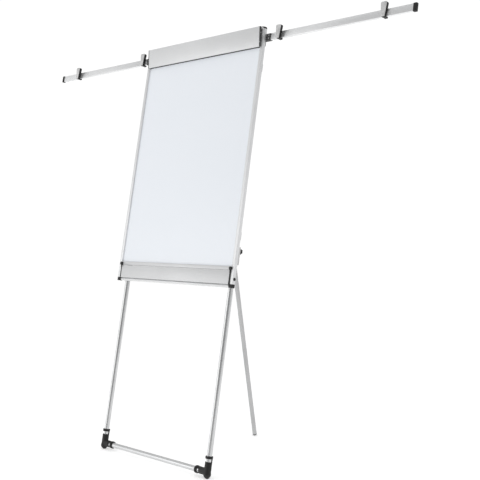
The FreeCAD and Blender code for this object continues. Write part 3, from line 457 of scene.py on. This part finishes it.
def turned(shape, profile, place, axis, steps=28, closed=False):
    """Revolve (radius, height) pairs about an axis through a place, into the bmesh."""
    axis, first, second = across(axis)
    rings = []
    for radius, height in profile:
        centre = place + axis * height
        if radius == 0.0:
            rings.append([shape.verts.new(centre)])
        else:
            rings.append([shape.verts.new(centre + (first * cosine + second * sine) * radius)
                          for cosine, sine in circle(steps)])
    pairs = list(zip(rings, rings[1:]))
    if closed:
        pairs.append((rings[-1], rings[0]))
    for low, high in pairs:
        for index in range(steps):
            after = (index + 1) % steps
            around = (low[index % len(low)], low[after % len(low)], high[after % len(high)],
                      high[index % len(high)])
            shape.faces.new(list(dict.fromkeys(around)))


def band(shape, place, axis, inner, outer, low, high, edge):
    """A ring with rounded outer edges, between two heights along an axis."""
    profile = [(inner, low), (outer - edge, low), (outer, low + edge), (outer, high - edge),
               (outer - edge, high), (inner, high)]
    turned(shape, profile, place, axis, 36, closed=True)


def bar_along(shape, start, end, half_wide, half_deep, wide_way, edge):
    """A straight bar with chamfered long edges and ends, between two points."""
    way = (end - start).normalized()
    wide_way = wide_way.normalized()
    deep_way = way.cross(wide_way)
    stations = ((start, edge), (start + way * edge, 0.0), (end - way * edge, 0.0), (end, edge))
    rings = []
    for centre, inset in stations:
        wide, deep = half_wide - inset, half_deep - inset
        outline = [(wide - edge, deep), (wide, deep - edge), (wide, edge - deep),
                   (wide - edge, -deep), (edge - wide, -deep), (-wide, edge - deep),
                   (-wide, deep - edge), (edge - wide, deep)]
        rings.append([shape.verts.new(centre + wide_way * u + deep_way * v) for u, v in outline])
    skin(shape, rings)


# The head of a screw: share of its radius and of its height, ring by ring, then its recess.
HEAD_PROFILE = ((0.96, 0.0), (1.0, 0.12), (1.0, 0.45), (0.93, 0.75), (0.78, 0.95))
HEAD_STEPS = 24
CROSS_REACH, CROSS_HALF = 0.56, 0.13
RECESS_SHRINK, RECESS_LEVEL = 0.7, 0.35


def cross_screw(shape, place, axis, radius, height):
    """A pan head with a cross recess; the axis points out of the surface."""
    axis, first, second = across(axis)
    reach, half = CROSS_REACH, CROSS_HALF

    def spot(u, v, level):
        return shape.verts.new(place + first * u + second * v + axis * level)

    rings = [[spot(radius * share * cosine, radius * share * sine, height * level)
              for cosine, sine in circle(HEAD_STEPS)] for share, level in HEAD_PROFILE]
    skin(shape, rings, end=False)
    cross = [(half, reach), (half, half), (reach, half), (reach, -half), (half, -half),
             (half, -reach), (-half, -reach), (-half, -half), (-reach, -half), (-reach, half),
             (-half, half), (-half, reach)]
    brim = [spot(radius * u, radius * v, height) for u, v in cross]
    floor = [spot(radius * u * RECESS_SHRINK, radius * v * RECESS_SHRINK, height * RECESS_LEVEL)
             for u, v in cross]
    skin(shape, [brim, floor], start=False)
    loops = [shape.edges.get((ring[index], ring[(index + 1) % len(ring)]))
             for ring in (rings[-1], brim) for index in range(len(ring))]
    bmesh.ops.bridge_loops(shape, edges=loops)


# ---------------------------------------------------------------- rounded mouldings and profiles

# Radius on the edges of the CAD nodes whose names start so, in millimetres.
EDGE_RADIUS = {
    "clip_body": 0.9, "clip_plate": 0.8, "arm_knuckle": 1.0, "arm_end_cap": 1.2,
    "tray_end_caps": 0.9, "corner_plugs": 1.2, "clamp_end_caps": 0.5, "rear_hinge_bracket": 1.2,
    "rear_leg_knuckle": 1.2, "board_brackets": 0.6, "lock_sleeve": 1.0, "rear_lock_sleeve": 1.0,
    "leg_top_caps": 1.8, "arm_support_collars": 0.8, "paper_hook": 0.5, "elbow": 0.8,
    "frame_profile": 0.5, "clamp_bar": 0.5, "tray_profile": 0.4, "tray_hinge_rail": 0.4,
    "clamp_rail": 0.4, "arm_rail": 0.7, "rear_hinge_pin": 0.7, "clamp_grip_strip": 0.6,
}

for node_name in sorted(frame["nodes"]):
    for stem, edge_radius in EDGE_RADIUS.items():
        if node_name.startswith(stem):
            add_rounded(node_name, edge_radius * MM)


# ---------------------------------------------------------------- star knobs

# Share of the radius, depth of the lobes and share of the thickness, ring by ring.
KNOB_RINGS = ((0.2, 0.0, 0.0), (0.84, 1.0, 0.0), (0.95, 1.0, 0.06), (1.0, 1.0, 0.2),
              (1.0, 1.0, 0.62), (0.96, 1.0, 0.76), (0.87, 1.0, 0.83), (0.66, 0.3, 0.84),
              (0.6, 0.0, 0.82), (0.57, 0.0, 0.86), (0.55, 0.0, 0.95), (0.46, 0.0, 1.0),
              (0.2, 0.0, 0.995))
KNOB_STEPS = 96
KNOB_LOBES = 6.0
LOBE_DEPTH = 0.17
LOBE_SHARPNESS = 1.6


def star_knob(node, lean, stud):
    """Knob with lobes, a domed hub and a moulded rim, on its threaded stud of a given length."""
    low, high = lean.span(node)
    radius = (high.z - low.z) / 2.0
    axis = -lean.front
    near, far = -high.y, -low.y
    start = near + stud
    place = lean.at(halfway(low.x, high.x), 0.0, halfway(low.z, high.z))
    thickness = far - start
    shape = bmesh.new()

    def ring(share, lobing, level):
        points = []
        for index in range(KNOB_STEPS):
            angle = TURN * index / KNOB_STEPS
            wave = 0.5 + 0.5 * math.cos(KNOB_LOBES * angle)
            reach = radius * share * (1.0 - LOBE_DEPTH * lobing * wave ** LOBE_SHARPNESS)
            points.append(shape.verts.new(place + axis * (start + thickness * level)
                                          + X * (reach * math.cos(angle))
                                          + lean.up * (reach * math.sin(angle))))
        return points

    skin(shape, [ring(*levels) for levels in KNOB_RINGS])
    stud_radius = 3.0 * MM
    root = start + 1.0 * MM
    turned(shape, [(0.0, near), (stud_radius, near), (stud_radius, root), (0.0, root)],
           place, axis, 20)
    add_like(node, node + "_star", shape, "black", (node,))


for node_name in ("lock_knob_left", "lock_knob_right"):
    star_knob(node_name, LEGS, 9.0 * MM)
star_knob("rear_lock_knob", REAR, 8.0 * MM)


# ---------------------------------------------------------------- screws

def screw_set(name, like, spots, radius, height, finish="steel", stands_for=()):
    """Cross-head screws on washers, at (place, axis) pairs, on the body of the node like."""
    shape = bmesh.new()
    washer = 0.4 * MM
    rim, brim = radius * 1.15, radius * 1.2
    for seat, axis in spots:
        turned(shape, [(0.0, -washer), (rim, -washer), (brim, 0.0), (rim, washer), (0.0, washer)],
               seat, axis)
        cross_screw(shape, seat + axis * washer, axis, radius, height - washer)
    add_like(like, name, shape, finish, stands_for)


def make_bracket_screws():
    """Screws through the tube brackets on the board's back."""
    radius, head = 4.0 * MM, 2.5 * MM
    spots = [(LEGS.at(halfway(low.x, high.x), low.y + head, halfway(low.z, high.z)), -LEGS.front)
             for low, high in islands("bracket_screws")]
    screw_set("bracket_pan_screws", "bracket_screws", spots, radius, head,
              stands_for=("bracket_screws",))


def make_arm_screws():
    """Screws above the arms' knuckles, which keep them on the tubes."""
    radius, head = 3.75 * MM, 2.5 * MM
    spots = []
    for low, high in islands("arm_retaining_screws"):
        side = 1.0 if low.x > 0.0 else -1.0
        outer = high.x if side > 0.0 else low.x
        place = LEGS.at(outer - side * head, halfway(low.y, high.y), halfway(low.z, high.z))
        spots.append((place, X * side))
    screw_set("arm_stop_screws", "arm_retaining_screws", spots, radius, head, "black",
              ("arm_retaining_screws",))


def make_frame_screws():
    """Self-tapping screws that hold the frame's corners together, on its back."""
    radius, head = 2.6 * MM, 1.5 * MM
    inset = 7.3 * MM
    step = 18.0 * MM
    low, high = LEGS.span("frame_profile_top")
    bottom = LEGS.span("frame_profile_bottom")[0].z
    edge = high.x - inset
    spots = []
    for side in SIDES.values():
        for x, up in ((edge - step, high.z - inset), (edge, high.z - inset - step),
                      (edge, bottom + inset)):
            spots.append((LEGS.at(side * x, low.y, up), -LEGS.front))
    screw_set("frame_corner_screws", "frame_profile_top", spots, radius, head)


def make_cap_screws():
    """Screws in the clamp's end plates."""
    radius, head = 1.8 * MM, 1.2 * MM
    below_top, above_bottom = 24.0 * MM, 18.0 * MM
    low, high = LEGS.span("clamp_end_caps")
    front = low.y + (high.y - low.y) * 0.5
    spots = [(LEGS.at(side * high.x, front, up), X * side)
             for side in SIDES.values() for up in (high.z - below_top, low.z + above_bottom)]
    screw_set("clamp_cap_screws", "clamp_end_caps", spots, radius, head)


def make_knuckle_screws():
    """Screws that pin the arm rails in their knuckles."""
    radius, head = 2.2 * MM, 1.1 * MM
    margin = 8.0 * MM
    inside = 10.0 * MM
    wall = 1.5 * MM
    for name, side in SIDES.items():
        low, high = LEGS.span("arm_rail_" + name)
        start = low.x if side > 0.0 else high.x
        for up in (low.z + margin, high.z - margin):
            place = LEGS.at(start - side * inside, high.y + wall, up)
            screw_set("arm_pin_screw_%s_%d" % (name, round(up / MM)), "arm_knuckle_" + name,
                      [(place, LEGS.front)], radius, head)


def make_hinge_screws():
    """Screws that hold the rear leg's hinge bracket on the cross tube."""
    radius, head = 2.6 * MM, 1.6 * MM
    behind = 12.5 * MM
    reach, rise = 24.5 * MM, 9.0 * MM
    low, high = LEGS.span("upper_cross_tube")
    back = halfway(low.y, high.y) - behind
    middle = halfway(low.z, high.z)
    spots = [(LEGS.at(side * reach, back, up), -LEGS.front)
             for side in SIDES.values() for up in (middle - rise, middle + rise)]
    screw_set("hinge_bracket_screws", "rear_hinge_bracket", spots, radius, head)


# ---------------------------------------------------------------- clips

def add_thumb_ridges(plate, x, front, top):
    """Three ridges on the upper part of a clip's plate, each a little shorter."""
    first, pitch = 5.5, 2.6
    longest, taper = 7.6, 0.35
    half_wide, half_deep, edge = 0.6 * MM, 0.3 * MM, 0.15 * MM
    ridges = bmesh.new()
    for step in range(3):
        up = top - (first + pitch * step) * MM
        half = (longest - taper * step) * MM
        bar_along(ridges, LEGS.at(x - half, front, up), LEGS.at(x + half, front, up),
                  half_wide, half_deep, LEGS.up, edge)
    add_like(plate, plate + "_ridges", ridges, "light_grey")


def dress_clip(name):
    """Thumb ridges and rivets on the plate, and moulding lines beside the body's block."""
    plate = "clip_plate_" + name
    body = "clip_body_" + name
    low, high = LEGS.span(plate)
    x = halfway(low.x, high.x)
    front = high.y - 0.15 * MM
    add_thumb_ridges(plate, x, front, high.z)
    rivet = [(0.0, -0.2 * MM), (1.9 * MM, -0.2 * MM), (1.8 * MM, 0.1 * MM), (1.4 * MM, 0.3 * MM),
             (0.8 * MM, 0.4 * MM), (0.0, 0.42 * MM)]
    proud = 0.1 * MM
    rivets = bmesh.new()
    for up in (low.z + 6.5 * MM, high.z - 17.5 * MM):
        turned(rivets, rivet, LEGS.at(x, front + proud, up), LEGS.front, 24)
    add_like(plate, plate + "_rivets", rivets, "light_grey")
    low, high = LEGS.span(body)
    block_front = high.y - 6.2 * MM
    narrow, wide = 7.15 * MM, 12.4 * MM
    above_bottom, below_top = 1.0 * MM, 4.0 * MM
    half_wide, half_deep, edge = 0.35 * MM, 0.25 * MM, 0.1 * MM
    lines = bmesh.new()
    for side in SIDES.values():
        bar_along(lines, LEGS.at(x + side * narrow, block_front, low.z + above_bottom),
                  LEGS.at(x + side * wide, block_front, high.z - below_top),
                  half_wide, half_deep, LEGS.front, edge)
    add_like(body, body + "_lines", lines, "black")


# ---------------------------------------------------------------- tubes, sleeves, elbows and feet

# Section of a grip rib: how far out of the sleeve and how far up, in millimetres.
RIB_SECTION = ((-0.6, -0.7), (0.25, -0.6), (0.5, 0.0), (0.25, 0.6), (-0.6, 0.7))
RIB_STEPS = 40


def rib_round(shape, place, lean, radius, half_turn):
    """A thin rounded rib round part of a sleeve, open where the sleeve is flat."""
    rings = []
    for index in range(RIB_STEPS + 1):
        angle = -half_turn + 2.0 * half_turn * index / RIB_STEPS
        way = X * math.sin(angle) - lean.front * math.cos(angle)
        centre = place + way * radius
        rings.append([shape.verts.new(centre + way * out * MM + lean.up * up * MM)
                      for out, up in RIB_SECTION])
    skin(shape, rings)


def dress_sleeve(node, tube, lean, half_turn):
    """Grip ribs round the ends of a lock sleeve: three below and one above."""
    low, high = lean.span(node)
    tube_low, tube_high = lean.span(tube)
    place = lean.at(halfway(tube_low.x, tube_high.x), halfway(tube_low.y, tube_high.y), 0.0)
    radius = (high.x - low.x) / 2.0
    rings = bmesh.new()
    for up in (low.z + 4.0 * MM, low.z + 8.0 * MM, low.z + 12.0 * MM, high.z - 2.5 * MM):
        rib_round(rings, place + lean.up * up, lean, radius, math.radians(half_turn))
    add_like(node, node + "_rings", rings, "light_grey")


# Section of a weld: how far out of the tube's surface and how far along it, in millimetres.
WELD_SECTION = ((-0.5, 3.2), (0.25, 3.0), (0.9, 1.8), (2.1, 0.4), (2.3, -1.6), (-0.5, -1.6))


def make_weld_collars():
    """Fillets of weld where the cross tube meets the legs' outer tubes."""
    low, high = LEGS.span("upper_cross_tube")
    front = halfway(low.y, high.y)
    up = halfway(low.z, high.z)
    radius = (high.z - low.z) / 2.0
    section = [(radius + out * MM, along * MM) for out, along in WELD_SECTION]
    shape = bmesh.new()
    for side in SIDES.values():
        turned(shape, section, LEGS.at(high.x * side, front, up), X * -side, 40, closed=True)
    add_like("upper_cross_tube", "cross_tube_welds", shape, "tube_x")


def make_foot_ring():
    """Shoulder ring moulded round the rear leg's rubber tip, just below the tube."""
    inward, outward = 1.5 * MM, 0.3 * MM
    bottom, top = 2.6 * MM, 0.3 * MM
    edge = 0.5 * MM
    low, high = REAR.span("rear_leg_inner_tube")
    radius = (high.x - low.x) / 2.0
    shape = bmesh.new()
    band(shape, REAR.at(0.0, halfway(low.y, high.y), 0.0), REAR.up, radius - inward,
         radius + outward, low.z - bottom, low.z - top, edge)
    add_like("rear_foot", "rear_foot_ring", shape, "rubber")


def dress_elbow(name, side):
    """Rounded collar rings at the two sockets of a corner elbow."""
    node = "elbow_" + name
    low, high = LEGS.span(node)
    tube_low, tube_high = LEGS.span("leg_inner_tube_" + name)
    bar_low, bar_high = LEGS.span("bottom_tube")
    leg_axis = LEGS.at(halfway(tube_low.x, tube_high.x), halfway(tube_low.y, tube_high.y), 0.0)
    bar_up = halfway(bar_low.z, bar_high.z)
    bar_front = halfway(bar_low.y, bar_high.y)
    socket_end = low.x if side > 0.0 else high.x
    inner = (tube_high.x - tube_low.x) / 2.0 + 0.05 * MM
    collar_radius, proud = 14.9 * MM, 0.35 * MM
    outer = collar_radius + proud
    ring_height, edge = 2.4, 0.5 * MM
    rings = bmesh.new()
    for step in (1.2, 5.2):
        band(rings, leg_axis, LEGS.up, inner, outer, high.z - (step + ring_height) * MM,
             high.z - step * MM, edge)
        band(rings, LEGS.at(socket_end + side * step * MM, bar_front, bar_up), X * side,
             inner, outer, 0.0, ring_height * MM, edge)
    add_like(node, node + "_collar_rings", rings, "black")


# ---------------------------------------------------------------- tray

def make_tray_liner():
    """Ribbed strip inside the folded tray, on which pens lie once it is down."""
    wall = 1.6 * MM
    above_bottom, below_top, from_end = 4.0 * MM, 4.5 * MM, 3.0 * MM
    sunk, rib_root, rib_crest = 0.05 * MM, 0.6 * MM, 1.5 * MM
    count = 9
    low, high = LEGS.span("tray_profile")
    inside = high.y - wall
    bottom, top = low.z + above_bottom, high.z - below_top
    end = high.x - from_end
    pitch = (top - bottom) / count
    outline = [(inside + sunk, bottom), (inside + sunk, top)]
    for step in range(count):
        base = top - pitch * step
        outline += [(inside - rib_root, base),
                    (inside - rib_crest, base - pitch * 0.3),
                    (inside - rib_crest, base - pitch * 0.5),
                    (inside - rib_root, base - pitch * 0.8)]
    outline.append((inside - rib_root, bottom))
    shape = bmesh.new()
    skin(shape, [[shape.verts.new(LEGS.at(x, front, up)) for front, up in outline]
                 for x in (-end, end)])
    add_piece("tray_liner", shape, "dark_grey", "tray")


make_bracket_screws()
make_arm_screws()
make_frame_screws()
make_cap_screws()
make_knuckle_screws()
make_hinge_screws()
for side_name, side_sign in SIDES.items():
    for place_name in ("inner", "outer"):
        dress_clip(side_name + "_" + place_name)
    dress_elbow(side_name, side_sign)
    dress_sleeve("lock_sleeve_" + side_name, "leg_outer_tube_" + side_name, LEGS, 148.0)
dress_sleeve("rear_lock_sleeve", "rear_leg_outer_tube", REAR, 179.0)
make_weld_collars()
make_foot_ring()
make_tray_liner()


# ---------------------------------------------------------------- floor and light

WHITE = (1.0, 1.0, 1.0, 1.0)
FLOOR_SIZE = 30.0
FLOOR_GLOW = 0.42
BACKDROP_LEVEL = 1.05
CEILING_LEVEL = 0.65
CEILING_START, CEILING_END = 0.25, 0.9
# Brightness of the room's walls by heading in degrees: 0 is behind the easel, 90 on its right,
# 180 and -180 in front of it, -90 on its left.
WALLS = ((-179.0, 0.5), (-160.0, 0.5), (-147.0, 0.36), (-141.0, 0.52), (-136.0, 0.8),
         (-131.0, 0.9), (-127.0, 1.2), (-120.0, 0.66), (-108.0, 0.96), (-60.0, 0.94),
         (-30.0, 0.8), (0.0, 0.76), (60.0, 0.56), (110.0, 0.5), (136.0, 0.44), (143.0, 0.04),
         (152.0, 0.04), (160.0, 0.44), (179.0, 0.5))
# Softboxes: name, place, width, height and power.
SOFTBOXES = (("key_softbox", (-2.1, -3.4, 1.1), 2.4, 2.0, 20.5),
             ("fill_softbox", (4.2, -0.6, 2.0), 1.6, 2.6, 4.0),
             ("top_softbox", (0.0, 0.0, 4.2), 3.0, 2.0, 12.0))
SOFTBOX_TARGET = (0.0, 0.0, 0.95)


def make_floor():
    mesh = bpy.data.meshes.new("floor")
    grid = bmesh.new()
    bmesh.ops.create_grid(grid, x_segments=1, y_segments=1, size=FLOOR_SIZE)
    grid.to_mesh(mesh)
    grid.free()
    floor = bpy.data.objects.new("floor", mesh)
    bpy.context.scene.collection.objects.link(floor)
    paint = Paint("studio_floor", roughness=0.75, Specular_IOR_Level=0.15, Emission_Color=WHITE,
                  Emission_Strength=FLOOR_GLOW)
    cloud = paint.noise(0.7, 2.0)
    paint.link(paint.mix(cloud, grey(0.9), grey(0.93)), "Base Color")
    mesh.materials.append(paint.material)


def make_softbox(name, place, width, height, power):
    data = bpy.data.lights.new(name, "AREA")
    data.shape = "RECTANGLE"
    data.size = width
    data.size_y = height
    data.energy = power
    light = bpy.data.objects.new(name, data)
    light.location = place
    light.rotation_mode = "QUATERNION"
    away = Vector(place) - Vector(SOFTBOX_TARGET)
    light.rotation_quaternion = away.to_track_quat("Z", "Y")
    bpy.context.scene.collection.objects.link(light)


def make_world():
    """Walls that brighten and dim with heading, a mid-grey ceiling, and white for the camera."""
    world = bpy.data.worlds.new("studio")
    world.use_nodes = True
    nodes = world.node_tree.nodes
    links = world.node_tree.links
    direction = nodes.new("ShaderNodeSeparateXYZ")
    links.new(nodes.new("ShaderNodeTexCoord").outputs["Generated"], direction.inputs["Vector"])
    heading = nodes.new("ShaderNodeMath")
    heading.operation = "ARCTAN2"
    links.new(direction.outputs["X"], heading.inputs[0])
    links.new(direction.outputs["Y"], heading.inputs[1])
    turn = nodes.new("ShaderNodeMapRange")
    turn.inputs["From Min"].default_value = -math.pi
    turn.inputs["From Max"].default_value = math.pi
    links.new(heading.outputs["Value"], turn.inputs["Value"])
    walls = nodes.new("ShaderNodeValToRGB")
    ramp = walls.color_ramp
    for degrees, level in WALLS:
        stop = ramp.elements.new((degrees + 180.0) / 360.0)
        stop.color = (level, level, level, 1.0)
    ramp.elements.remove(ramp.elements[0])
    ramp.elements.remove(ramp.elements[len(ramp.elements) - 1])
    links.new(turn.outputs["Result"], walls.inputs["Fac"])
    ceiling = nodes.new("ShaderNodeMapRange")
    ceiling.inputs["From Min"].default_value = CEILING_START
    ceiling.inputs["From Max"].default_value = CEILING_END
    links.new(direction.outputs["Z"], ceiling.inputs["Value"])
    room_light = nodes.new("ShaderNodeMixRGB")
    room_light.inputs["Color2"].default_value = grey(CEILING_LEVEL)
    links.new(ceiling.outputs["Result"], room_light.inputs["Fac"])
    links.new(walls.outputs["Color"], room_light.inputs["Color1"])
    room = nodes["Background"]
    room.inputs["Strength"].default_value = 1.0
    links.new(room_light.outputs["Color"], room.inputs["Color"])
    backdrop = nodes.new("ShaderNodeBackground")
    backdrop.inputs["Color"].default_value = WHITE
    backdrop.inputs["Strength"].default_value = BACKDROP_LEVEL
    seen = nodes.new("ShaderNodeLightPath")
    choose = nodes.new("ShaderNodeMixShader")
    links.new(seen.outputs["Is Camera Ray"], choose.inputs["Fac"])
    links.new(room.outputs["Background"], choose.inputs[1])
    links.new(backdrop.outputs["Background"], choose.inputs[2])
    links.new(choose.outputs["Shader"], nodes["World Output"].inputs["Surface"])
    bpy.context.scene.world = world


make_floor()
make_world()
for softbox in SOFTBOXES:
    make_softbox(*softbox)
bpy.context.scene.view_settings.view_transform = "Standard"
